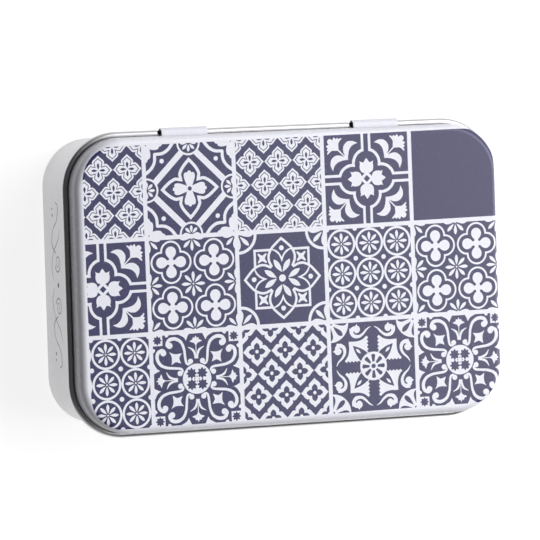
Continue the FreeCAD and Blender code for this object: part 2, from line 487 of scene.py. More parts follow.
    def scroll_medallion(self) -> Drawing:
        """A medallion with four florets, eight scrolls, four stars and a lily on each side.

        Returns:
            Its outlines in the order they are laid.
        """
        scroll = stroke(
            [(2.2, 4.9), (2.9, 4.75), (3.5, 5.5), (3.75, 7.4), (4.05, 9.8), (5.0, 11.9), (6.9, 13.0),
             (8.8, 12.75), (9.6, 11.4), (9.1, 10.5)],
            [0.7, 0.7, 0.75, 0.8, 0.85, 0.95, 1.1, 1.15, 1.1, 1.0])
        balls = (circle(0.86, (2.0, 5.6), 20), circle(0.98, (8.75, 10.95), 20))
        star = mirrored(joined([(9.0, 9.0), (7.8, 8.35), (6.5, 8.15), (4.8, 8.35)],
                               [(4.8, 8.35), (5.5, 7.3), (5.65, 6.6), (5.1, 5.15)], steps=3))
        bud = whole(np.array([(0.0, 13.7), (0.36, 12.95), (0.95, 13.1), (1.05, 12.5), (2.15, 11.95),
                              (1.4, 11.6), (0.75, 11.45), (0.3, 10.9), (0.0, 10.3)]))
        trumpet = stroke([(0.27, 6.4), (0.45, 7.9), (1.15, 9.25), (2.65, 10.15)], [0.62, 0.74, 0.7, 0.2])
        stem = block(-0.12, 8.2, 0.12, 10.6)
        angles = np.linspace(0.0, 2 * np.pi, 48, endpoint=False)
        round_way = np.stack([np.cos(angles), np.sin(angles)], -1)
        floret = (1.5 + 0.28 * np.cos(8 * angles))[:, None] * round_way
        spike = joined([(2.1, 14.6), (2.7, 13.5), (3.25, 12.2)], [(3.25, 12.2), (4.1, 13.4), (6.4, 14.6)])
        dent = curve([(8.7, 14.6), (9.4, 13.75), (10.1, 13.75), (10.3, 14.6)], 4)
        drawing = Drawing().white(eightfold(spike), eightfold(dent))
        drawing.white(turned(block(11.1, 11.1, 15.0, 15.0), 4))
        drawing.blue(turned(floret * 0.84 + (12.8, 12.8), 4))
        drawing.white(*(eightfold(one) for one in (scroll, *balls)))
        drawing.white(turned(star, 4), circle(4.78, steps=44))
        drawing.blue(turned(floret + (1.78, 1.78), 4), turned(circle(0.2, (0.0, 0.78), 8), 4))
        return drawing.white(turned(bud, 4), eightfold(trumpet), turned(stem, 4))

    def palmette_wheel(self) -> Drawing:
        """A wheel of eight petals with four fan palmettes, scrolls along the edges and quarter wheels.

        Returns:
            Its outlines in the order they are laid.
        """
        teeth = np.stack([1.55 + 0.5 * (np.arange(9) % 2), np.linspace(4.4, 9.2, 9)], -1)
        rim = curve([(2.1, 9.85), (3.6, 8.7), (5.6, 8.2), (8.25, 8.25)], 4)
        fan = mirrored(np.vstack([[(2.6, 2.6)], teeth, rim]))
        eye_side = curve([(0.0, 9.75), (0.8, 8.2), (1.3, 6.9), (1.65, 5.2), (1.75, 3.6)], 3)
        eye = turned(whole(np.vstack([eye_side, [(0.0, 3.2)]])), 4, -45.0)
        tail = stroke(
            [(0.6, 12.7), (1.9, 11.95), (3.2, 10.6), (4.7, 9.75), (6.4, 10.0), (7.3, 11.2), (7.75, 12.5)],
            [0.15, 0.5, 0.75, 0.95, 1.2, 1.15, 0.2])
        hook = stroke([(7.0, 10.9), (7.0, 12.0), (6.1, 12.6)], [0.9, 1.2, 1.2])
        ball = circle(1.22, (5.45, 12.05), 22)
        barb = np.array([(5.0, 13.0), (5.35, 13.75), (5.9, 13.1)])
        slit = stroke([(4.0, 11.4), (4.5, 10.75), (5.4, 10.5), (6.1, 10.9), (6.35, 11.5)],
                      [0.2, 0.45, 0.5, 0.4, 0.15])
        spoke = np.array([(-0.36, 1.4), (0.36, 1.4), (0.68, 3.5), (0.4, 3.85), (-0.4, 3.85),
                          (-0.68, 3.5)])
        corners = grid(2, 2 * self.half)
        wedges = turned(leaf(1.25, 5.6, 1.6, peak=0.68, blunt=0.55), 8)
        drawing = Drawing().white(turned(fan, 4)).blue(eye).white(turned(leaf(6.0, 8.3, 0.85), 4, -45.0))
        drawing.white(circle(4.6, steps=44)).blue(turned(spoke, 8), circle(0.74, steps=18))
        drawing.white(*(eightfold(one) for one in (tail, hook, ball, barb))).blue(eightfold(slit))
        drawing.white(placed(circle(6.1, steps=48), corners))
        return drawing.blue(placed(wedges, corners), placed(circle(0.6, steps=12), corners))

    def plain(self) -> Drawing:
        """A tile of blue alone."""
        return Drawing()


class Motif(Enum):
    """The motifs by the name of the TileBook method that draws each."""

    FINE_LATTICE = "fine_lattice"
    BOLD_LATTICE = "bold_lattice"
    RINGS = "rings"
    CLOVERS = "clovers"
    STAR = "star"
    ROSETTE_DIAMOND = "rosette_diamond"
    TULIP_CROSS = "tulip_cross"
    SCROLL_MEDALLION = "scroll_medallion"
    PALMETTE_WHEEL = "palmette_wheel"
    PLAIN = "plain"


@dataclass(frozen=True)
class EndScroll:
    """A fine line flourish: mirrored S-curves that end in spirals, with dots between them."""

    line: float = 0.3
    spiral_points: int = 30

    def shapes(self) -> list[np.ndarray]:
        """The strokes about the middle of the wall, x along the wall and y up.

        Returns:
            Closed outlines.
        """
        turn = np.linspace(0.0, 3.4 * np.pi, self.spiral_points)
        reach = 0.5 + 2.6 * turn / turn[-1]
        spiral = np.stack([reach * np.cos(turn), reach * np.sin(turn)], -1) + (7.0, 1.5)
        widths = np.linspace(0.2, self.line * 1.4, self.spiral_points)
        curl = stroke([tuple(point) for point in spiral], widths.tolist(), 2)
        sweep = stroke([(9.9, 0.0), (12.5, -4.0), (17.0, -3.2), (20.5, 1.5), (25.0, 3.0), (26.3, 0.5)],
                       [0.35, 0.5, 0.3, 0.4, 0.45, 0.2])
        under = stroke([(1.0, -3.0), (5.0, -5.0), (10.0, -3.0), (14.5, 2.5), (18.0, 4.2)],
                       [0.2, 0.4, 0.3, 0.4, 0.2])
        dots = [circle(0.55, (22.0, -3.0), 14), circle(0.4, (24.0, -3.4), 12)]
        hand = [curl, sweep, under, *dots]
        return [side for shape in hand for side in both_hands(shape)] + [circle(0.8, (0.0, 1.5), 18)]


# Meshes


@dataclass(frozen=True)
class Outline:
    """The rounded rectangle over the bead, seen from above.

    A column is a foot on the rectangle of corner centres and a direction outward, and the point at a
    given inset is foot + direction * (corner - inset).
    """

    half_length: float
    half_width: float
    corner: float
    corner_steps: int = 22

    def core(self) -> np.ndarray:
        """Half extents of the rectangle of corner centres."""
        return np.array([self.half_length, self.half_width]) - self.corner

    def columns(self, back_stops: list[float]) -> tuple[np.ndarray, np.ndarray]:
        """Columns counter-clockwise from the right end of the first corner.

        Args:
            back_stops: X of the further columns along the straight back.

        Returns:
            The feet and the directions, one row each.
        """
        quarter = np.arange(4)[:, None] * np.pi / 2
        angle = quarter + np.linspace(0.0, np.pi / 2, self.corner_steps + 1)
        direction = np.stack([np.cos(angle), np.sin(angle)], -1)
        signs = np.array([(1, 1), (-1, 1), (-1, -1), (1, -1)])
        feet = np.broadcast_to((signs * self.core())[:, None], direction.shape)
        stops = np.array(sorted(back_stops, reverse=True))
        back = np.stack([stops, np.full_like(stops, self.core()[1])], -1)
        outward = np.broadcast_to([0.0, 1.0], back.shape)
        return (np.vstack([feet[0], back, *feet[1:]]), np.vstack([direction[0], outward, *direction[1:]]))

    def carry(self, columns: tuple[np.ndarray, np.ndarray], section: np.ndarray) -> np.ndarray:
        """A section carried along columns.

        Args:
            columns: The feet and directions.
            section: Points of (inset, height).

        Returns:
            A grid of places, columns by section points.
        """
        feet, direction = columns
        plan = feet[:, None] + direction[:, None] * (self.corner - section[:, 0])[None, :, None]
        height = np.broadcast_to(section[:, 1], plan.shape[:2])
        return np.concatenate([plan, height[..., None]], -1)


class SheetMesh:
    """Both faces of one bent sheet, gathered as grids, with its cut edges closed at the end.

    The front and back of a place are two vertices in a row, so the back's index is the front's plus one.
    """

    def __init__(self) -> None:
        """Starts an empty mesh."""
        self.points: list[np.ndarray] = []
        self.faces: list[np.ndarray] = []
        self.slots: list[np.ndarray] = []
        self.front: list[np.ndarray] = []
        self.count = 0

    def add_points(self, points: np.ndarray) -> np.ndarray:
        """Adds places and returns their indices.

        Args:
            points: The places, in an array of any shape that ends in three.

        Returns:
            An index for each.
        """
        self.points.append(points.reshape(-1, 3))
        start, self.count = self.count, self.count + len(self.points[-1])
        return np.arange(start, self.count)

    def add_faces(self, corners: np.ndarray, slots: np.ndarray | int = 0) -> None:
        """Adds faces of equal corner count, in one material slot or one slot each."""
        self.faces.append(corners)
        self.slots.append(np.broadcast_to(slots, len(corners)))

    def add_grid(self, front: np.ndarray, back: np.ndarray) -> np.ndarray:
        """Adds the two faces of a grid and returns the indices of its front."""
        both = self.add_points(np.stack([front, back], 2))
        return both.reshape(*front.shape[:2], 2)[..., 0]

    @staticmethod
    def quads(places: np.ndarray, closed: bool) -> np.ndarray:
        """Corners of a grid's cells, columns by rows by four.

        Args:
            places: Indices, columns by rows.
            closed: Whether the last column joins the first.

        Returns:
            The four indices of each cell.
        """
        following = np.roll(places, -1, axis=0)
        low, high = (places, following) if closed else (places[:-1], following[:-1])
        return np.stack([low[:, :-1], low[:, 1:], high[:, 1:], high[:, :-1]], -1)

    def add_cells(self, places: np.ndarray, slots: tuple[int, int], closed: bool,
                  front_cells: np.ndarray | None = None, back_cells: np.ndarray | None = None) -> None:
        """Adds the quads of a grid on both faces.

        Args:
            places: Front indices, columns by rows.
            slots: Material slots of the front and the back.
            closed: Whether the last column joins the first.
            front_cells: Which cells the front has, all by default.
            back_cells: Which cells the back has, the front's by default.
        """
        quads = self.quads(places, closed)
        kept = np.ones(quads.shape[:2], bool) if front_cells is None else front_cells
        self.add_faces(quads[kept], slots[0])
        self.front.append(quads[kept])
        self.add_faces(quads[kept if back_cells is None else back_cells][:, ::-1] + 1, slots[1])

    def add_area(self, area: "DividedArea", places: np.ndarray, border: np.ndarray,
                 slots: np.ndarray) -> None:
        """Adds the triangles of a cut area on one face, joined to vertices that are there already.

        Args:
            area: The area.
            places: Where its points lie.
            border: Indices of the vertices along its bound.
            slots: The material slot of each triangle.
        """
        added = self.add_points(places)
        known = area.border >= 0
        added[known] = border[area.border[known]]
        self.add_faces(added[area.triangles], slots)

    def close_edges(self, sealed: np.ndarray, slot: int) -> None:
        """Joins front and back along every free edge of the front.

        Args:
            sealed: Vertices of the rings that other faces close.
            slot: Material slot of the cut edges.
        """
        quads = np.vstack(self.front)
        edges = np.stack([quads, np.roll(quads, -1, axis=1)], -1).reshape(-1, 2)
        code, reverse = edges @ (self.count, 1), edges @ (1, self.count)
        free = edges[~np.isin(code, reverse)]
        free = free[~np.isin(free, sealed).all(1)]
        self.add_faces(np.stack([free[:, 1], free[:, 0], free[:, 0] + 1, free[:, 1] + 1], -1), slot)

    def make(self, name: str, materials: list[bpy.types.Material],
             crease: float = 38.0) -> bpy.types.Object:
        """Makes the object from the places that its faces use.

        Args:
            name: The piece's name.
            materials: Its material slots.
            crease: Angle in degrees above which an edge is sharp.

        Returns:
            A mesh object at the origin, its place in its mesh.
        """
        mesh = bpy.data.meshes.new(name)
        used = np.unique(np.concatenate([group.ravel() for group in self.faces]))
        faces = [face for group in self.faces for face in np.searchsorted(used, group).tolist()]
        mesh.from_pydata((np.vstack(self.points)[used] * MM).tolist(), [], faces)
        mesh.polygons.foreach_set("material_index", np.concatenate(self.slots).astype(np.int32))
        for material in materials:
            mesh.materials.append(material)
        mesh.shade_smooth()
        mesh.set_sharp_from_angle(angle=math.radians(crease))
        mesh.validate()
        piece = bpy.data.objects.new(name, mesh)
        bpy.context.scene.collection.objects.link(piece)
        LOG.info("%s: %d vertices, %d faces", name, len(mesh.vertices), len(mesh.polygons))
        return piece


def within(points: np.ndarray, outline: np.ndarray) -> np.ndarray:
    """Which points a closed outline winds round counter-clockwise.

    The winding number is the count of edges that cross the point's level upward on its right, less
    those that cross it downward; loops that run backward, as at an inset's sharp tips, count as outside.

    Args:
        points: Points to test.
        outline: The closed outline.

    Returns:
        True for each point inside.
    """
    inside = ((points > outline.min(0)) & (points < outline.max(0))).all(1)
    x, y = points[inside].T[:, :, None]
    (ax, ay), (bx, by) = outline.T, np.roll(outline, -1, axis=0).T
    side = (bx - ax) * (y - ay) - (x - ax) * (by - ay)
    upward = ((ay <= y) & (by > y) & (side > 0)).sum(1)
    downward = ((ay > y) & (by <= y) & (side < 0)).sum(1)
    inside[inside] = upward > downward
    return inside


@dataclass
class DividedArea:
    """A flat area cut into triangles along outlines."""

    points: np.ndarray
    triangles: np.ndarray
    border: np.ndarray

    @classmethod
    def cut(cls, bound: np.ndarray, lines: list[np.ndarray], step: float = 2.5,
            clear: float = 0.997, nearest: float = 1e-4) -> "DividedArea":
        """Cuts a convex area by a constrained Delaunay triangulation.

        Args:
            bound: The closed outline of the area.
            lines: Closed outlines to cut along where they lie inside the area and clear of its edge.
            step: Their edges are divided into pieces no longer than this.
            clear: Share of the bound's size that a line has to lie in.
            nearest: Points closer than this are one.

        Returns:
            The points, the triangles turned to face +z, and each point's border point or -1.
        """
        runs = [bound, *(fine(line, step) for line in lines)]
        ends = np.cumsum([len(run) for run in runs])
        edges = np.stack([np.arange(ends[-1]), np.arange(1, ends[-1] + 1)], -1)
        edges[ends - 1, 1] = ends - [len(run) for run in runs]
        flat = np.concatenate(runs)
        inside = within(flat, clear * bound)
        inside[:len(bound)] = True
        edges = edges[inside[edges].all(1)]
        used = np.unique(edges)
        found = delaunay_2d_cdt([Vector(point) for point in flat[used].tolist()],
                                np.searchsorted(used, edges).tolist(), [], 1, nearest)
        points, _, triangles, origin, _, _ = found
        points, triangles = np.array(points), np.array(triangles)
        a, b, c = (points[triangles[:, k]] for k in range(3))
        back = (b[:, 0] - a[:, 0]) * (c[:, 1] - a[:, 1]) - (b[:, 1] - a[:, 1]) * (c[:, 0] - a[:, 0]) < 0
        triangles[back] = triangles[back][:, ::-1]
        border = np.array([min([k for k in ids if k < len(bound)], default=-1) for ids in origin])
        return cls(points, triangles, border)

    def centres(self) -> np.ndarray:
        """The middle of each triangle."""
        return self.points[self.triangles].mean(1)


# Materials

# A Mix node set to colours has its two colours in these inputs and its result in this output.
MIX_A, MIX_B, MIXED = 6, 7, 2


def linear(code: str) -> tuple[float, float, float, float]:
    """An sRGB hex colour as linear RGBA.

    Args:
        code: The colour as #RRGGBB.

    Returns:
        Red, green and blue, and an alpha of 1.
    """
    value = np.array([int(code[k:k + 2], 16) for k in (1, 3, 5)]) / 255
    value = np.where(value <= 0.04045, value / 12.92, ((value + 0.055) / 1.055) ** 2.4)
    return (*value.tolist(), 1.0)


def add_node(tree: bpy.types.NodeTree, kind: str, inputs: dict[str | int, Any] | None = None,
             **settings: Any) -> bpy.types.Node:
    """Adds a node to a tree.

    Args:
        tree: The material's or world's nodes.
        kind: The node's type name.
        inputs: Socket name or number to a value, or to an output socket to link.
        settings: The node's own properties.

    Returns:
        The node.
    """
    node = tree.nodes.new(kind)
    for name, value in settings.items():
        setattr(node, name, value)
    for name, value in (inputs or {}).items():
        if isinstance(value, bpy.types.NodeSocket):
            tree.links.new(value, node.inputs[name])
        else:
            node.inputs[name].default_value = value
    return node


def new_material(name: str) -> tuple[bpy.types.Material, bpy.types.NodeTree]:
    """An empty node material.

    Args:
        name: The material's name.

    Returns:
        The material and its nodes.
    """
    material = bpy.data.materials.new(name)
    material.use_nodes = True
    material.node_tree.nodes.clear()
    return material, material.node_tree


@dataclass(frozen=True)
class Finish:
    """What the tin's finishes share: two shades mixed by a pattern, and patterned roughness and bump."""

    name: str
    colour: str
    second: str

    def dress(self, tree: bpy.types.NodeTree, factor: bpy.types.NodeSocket, rough: dict[str | int, Any],
              bump: dict[str | int, Any], constants: dict[str | int, Any]) -> None:
        """Adds the shader and what feeds it.

        Args:
            tree: The material's nodes.
            factor: The pattern that mixes the two shades.
            rough: Inputs of the range that gives the roughness.
            bump: Inputs of the bump.
            constants: Values of the shader's own sockets.
        """
        shade = add_node(tree, "ShaderNodeMix", {
            "Factor": factor, MIX_A: linear(self.colour), MIX_B: linear(self.second)}, data_type="RGBA")
        shader = add_node(tree, "ShaderNodeBsdfPrincipled", {
            "Base Color": shade.outputs[MIXED],
            "Roughness": add_node(tree, "ShaderNodeMapRange", rough).outputs["Result"],
            "Normal": add_node(tree, "ShaderNodeBump", bump).outputs["Normal"], **constants})
        add_node(tree, "ShaderNodeOutputMaterial", {"Surface": shader.outputs["BSDF"]})


@dataclass(frozen=True)
class VarnishedPrint(Finish):
    """Lithographed tinplate: a rolled enamel or ink under clear varnish, with a faint orange peel."""

    roughness: float = 0.27
    swing: float = 0.015
    mottle_mm: float = 0.9
    peel_mm: float = 2.2
    peel_depth_mm: float = 0.02
    peel_strength: float = 0.02

    def material(self) -> bpy.types.Material:
        """Builds the material: colour mottled as rolled ink is, roughness and bump from the peel.

        Returns:
            The material.
        """
        material, tree = new_material(self.name)
        place = add_node(tree, "ShaderNodeTexCoord").outputs["Object"]
        mottle, peel = (add_node(tree, "ShaderNodeTexNoise", {
            "Vector": place, "Scale": 1 / (size * MM), "Detail": detail}).outputs["Fac"]
            for size, detail in ((self.mottle_mm, 3.0), (self.peel_mm, 1.0)))
        self.dress(
            tree, mottle,
            {"Value": peel, "To Min": self.roughness - self.swing, "To Max": self.roughness + self.swing},
            {"Height": peel, "Strength": self.peel_strength, "Distance": self.peel_depth_mm * MM},
            {"IOR": 1.5})
        return material


@dataclass(frozen=True)
class RolledTinplate(Finish):
    """Bare tinplate: cold rolled steel with a matte tin coat, satin with faint roll lines along it."""

    roughness: float = 0.28
    smoother: float = 0.01
    rougher: float = 0.03
    # Real roll lines are much finer; these are drawn coarse enough to show in the render.
    line_mm: float = 0.6
    line_depth_mm: float = 0.01
    line_strength: float = 0.02
    # The lines run along X and are drawn out a little down the wall.
    line_stretch: tuple[float, float, float] = (0.03, 1.0, 0.25)
    cloud_mm: float = 14.0
    # The product of the two patterns seldom passes this value.
    blend_top: float = 0.5

    def material(self) -> bpy.types.Material:
        """Builds the material: metal whose shade and roughness follow roll lines and soft clouds.

        Returns:
            The material.
        """
        material, tree = new_material(self.name)
        place = add_node(tree, "ShaderNodeTexCoord").outputs["Object"]
        drawn = add_node(tree, "ShaderNodeMapping", {"Vector": place, "Scale": self.line_stretch})
        lines, cloud = (add_node(tree, "ShaderNodeTexNoise", {
            "Vector": vector, "Scale": 1 / (size * MM), "Detail": 2.0}).outputs["Fac"]
            for vector, size in ((drawn.outputs["Vector"], self.line_mm), (place, self.cloud_mm)))
        product = add_node(tree, "ShaderNodeMath", {0: lines, 1: cloud}, operation="MULTIPLY")
        blend = product.outputs["Value"]
        self.dress(
            tree, blend,
            {"Value": blend, "From Max": self.blend_top, "To Min": self.roughness - self.smoother,
             "To Max": self.roughness + self.rougher},
            {"Height": lines, "Strength": self.line_strength, "Distance": self.line_depth_mm * MM},
            {"Metallic": 1.0})
        return material


# White enamel: a rolled ground coat with a cool cast, slightly uneven where the sheet shows through.
WHITE_ENAMEL = VarnishedPrint("white_enamel_on_tinplate", "#EDEDF6", "#E6E6F1")
# Blue lithograph ink: dense, a little mottled, under the same varnish.
BLUE_INK = VarnishedPrint("blue_lithograph_ink", "#33315B", "#37355F")
# Bare tinplate: pale satin grey that takes the shade of what it faces.
TINPLATE = RolledTinplate("bare_tinplate", "#C9C8CA", "#B2B1B5")
# Grey line ink on the bare wall: thin, so it takes the sheen of the plate.
GREY_INK = VarnishedPrint("grey_line_ink", "#4B4B50", "#55555A", roughness=0.4)


# The tin


@dataclass(frozen=True)
class Hinge:
    """The two tabs of the lid and the places that they need in the base."""

    tab_width: float = 15.4
    from_corner: float = 15.2
    tab_turn: float = 260.0
    tab_slit: float = 0.6
    running: float = 0.36
    slot_clearance: float = 0.35
    end_play: float = 0.4
    notch_width: float = 1.2
    notch_past_axis: float = 0.35
    notch_below_axis: float = 0.3

    def tabs(self, outline: Outline) -> list[tuple[float, float]]:
        """X of the two ends of each tab."""
        middle = outline.core()[0] - self.from_corner - self.tab_width / 2
        return [(m - self.tab_width / 2, m + self.tab_width / 2) for m in (-middle, middle)]

    def slots(self, outline: Outline) -> list[tuple[float, float, float]]:
        """X of the start of each slot, the end of its notch and its end."""
        return [(a - self.notch_width, a, b + self.end_play) for a, b in self.tabs(outline)]


@dataclass(frozen=True)
class Tin:
    """Sizes shared by the base and the lid; those that the frame gives are read from it."""

    outline: Outline
    bead_radius: float
    bead_height: float
    height: float
    sheet: float = 0.28
    hinge: Hinge = Hinge()

    @classmethod
    def from_frame(cls, corner: float = 18.0) -> "Tin":
        """Reads the bead's outline, its axis and the lid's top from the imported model.

        Args:
            corner: The outline's corner radius, which the frame doesn't give.

        Returns:
            The tin's shared sizes.
        """
        low, high = (np.array(end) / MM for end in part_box("base"))
        axis = np.array(frame["joints"][0]["pos_m"]) / MM
        outline = Outline((high[0] - low[0]) / 2, (high[1] - low[1]) / 2, corner)
        return cls(outline, outline.half_width - axis[1], axis[2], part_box("lid")[1].z / MM)


@dataclass(frozen=True)
class Base:
    """The drawn tray: raised bottom panel, foot, drafted wall, and a mouth rolled outward into a bead."""

    tin: Tin
    curl_gap: float = 1.1
    draft: float = 1.25
    foot_radius: float = 2.0
    stand_width: float = 4.0
    panel_rise: float = 0.8
    panel_rim: float = 1.0
    panel_bend: float = 0.4
    foot_steps: int = 10
    bead_steps: int = 30

    def section(self) -> tuple[np.ndarray, int]:
        """The inner face from the bottom panel to the end of the curl, and the row where that starts.

        Returns:
            Points of (inset, height), and the number of the row.
        """
        tin = self.tin
        lean = math.radians(self.draft)
        wall = 2 * tin.bead_radius
        wall_foot = wall + (tin.bead_height - tin.sheet) * math.tan(lean)
        foot = wall_foot + self.foot_radius
        step = foot + self.stand_width
        panel = step + self.panel_rise
        floor = tin.sheet
        top = self.panel_rise + tin.sheet
        panel_line = bent([(panel + self.panel_rim, top), (panel, top), (step, floor), (foot, floor)],
                          self.panel_bend)
        wall_line = bent([(foot, floor), (wall_foot, floor), (wall, tin.bead_height)],
                         self.foot_radius - tin.sheet, self.foot_steps)
        depth = self.slot_depth()
        slot_row = np.array([(wall + depth * math.tan(lean), tin.bead_height - depth)])
        turn = 360.0 - math.degrees(self.curl_gap / tin.bead_radius)
        curl = arc((tin.bead_radius, tin.bead_height), tin.bead_radius, 0.0, turn, self.bead_steps)
        lower = np.vstack([panel_line[:-1], wall_line[1:-1], slot_row])
        return np.vstack([lower, curl]), len(lower)

    def slot_depth(self) -> float:
        """How far the hinge slots reach below the bead's axis."""
        hinge = self.tin.hinge
        return self.tin.bead_radius + hinge.running + self.tin.sheet + hinge.slot_clearance

    def build(self) -> bpy.types.Object:
        """Builds the tray with its hinge slots and notches, and the ornament on its two ends.

        Returns:
            The piece.
        """
        tin, hinge = self.tin, self.tin.hinge
        slots = hinge.slots(tin.outline)
        columns = tin.outline.columns([x for slot in slots for x in slot])
        section, curl = self.section()
        mesh = SheetMesh()
        places = mesh.add_grid(tin.outline.carry(columns, section),
                               tin.outline.carry(columns, offset(section, tin.sheet)))
        kept = np.ones((places.shape[0], places.shape[1] - 1), bool)
        middle = (columns[0] + np.roll(columns[0], -1, axis=0)) / 2
        straight = np.isclose(columns[1][:, 1], 1.0)
        on_back = straight & np.roll(straight, -1)
        between = (section[1:] + section[:-1]) / 2
        nicked = between[:, 0] < tin.bead_radius + hinge.notch_past_axis
        nicked &= between[:, 1] > tin.bead_height - hinge.notch_below_axis
        for start, notch_end, end in slots:
            in_slot = on_back & (middle[:, 0] > start) & (middle[:, 0] < end)
            in_notch = in_slot & (middle[:, 0] < notch_end)
            kept[in_slot, curl - 1] = False
            kept[np.ix_(in_notch, nicked)] = False
        steps = tin.outline.corner_steps + 1
        # The straight ends start after the second corner and after the last one.
        ends = [2 * steps + 3 * len(slots) - 1, len(places) - 1]
        back = kept.copy()
        back[ends, curl - 2] = False
        mesh.add_cells(places, (0, 0), True, kept, back)
        for column in ends:
            sides = places[[column, (column + 1) % len(places)]]
            self.print_end(mesh, sides[:, [curl - 2, curl - 1]] + 1)
        mesh.add_faces(places[None, :, 0], 0)
        mesh.add_faces(places[None, ::-1, 0] + 1, 0)
        mesh.close_edges(places[:, 0], 0)
        return mesh.make("tray_of_tinplate", [TINPLATE.material(), GREY_INK.material()])

    def print_end(self, mesh: SheetMesh, corner: np.ndarray) -> None:
        """Fills an end wall's flat panel with triangles cut along its line ornament.

        Args:
            mesh: The mesh to add to.
            corner: Indices of the panel's corners: two columns by the foot and the top.
        """
        places = np.vstack(mesh.points)[corner]
        origin, along, up = places[0, 0], places[1, 0] - places[0, 0], places[0, 1] - places[0, 0]
        wide, high = np.linalg.norm(along), np.linalg.norm(up)
        shapes = [shape + (wide / 2, high / 2) for shape in EndScroll().shapes()]
        area = DividedArea.cut(block(0.0, 0.0, wide, high), shapes)
        on_wall = origin + area.points[:, :1] / wide * along + area.points[:, 1:] / high * up
        centres = area.centres()
        inked = np.any([within(centres, facing(shape)) for shape in shapes], axis=0)
        mesh.add_area(area, on_wall, corner[[0, 1, 1, 0], [0, 0, 1, 1]], inked.astype(int))


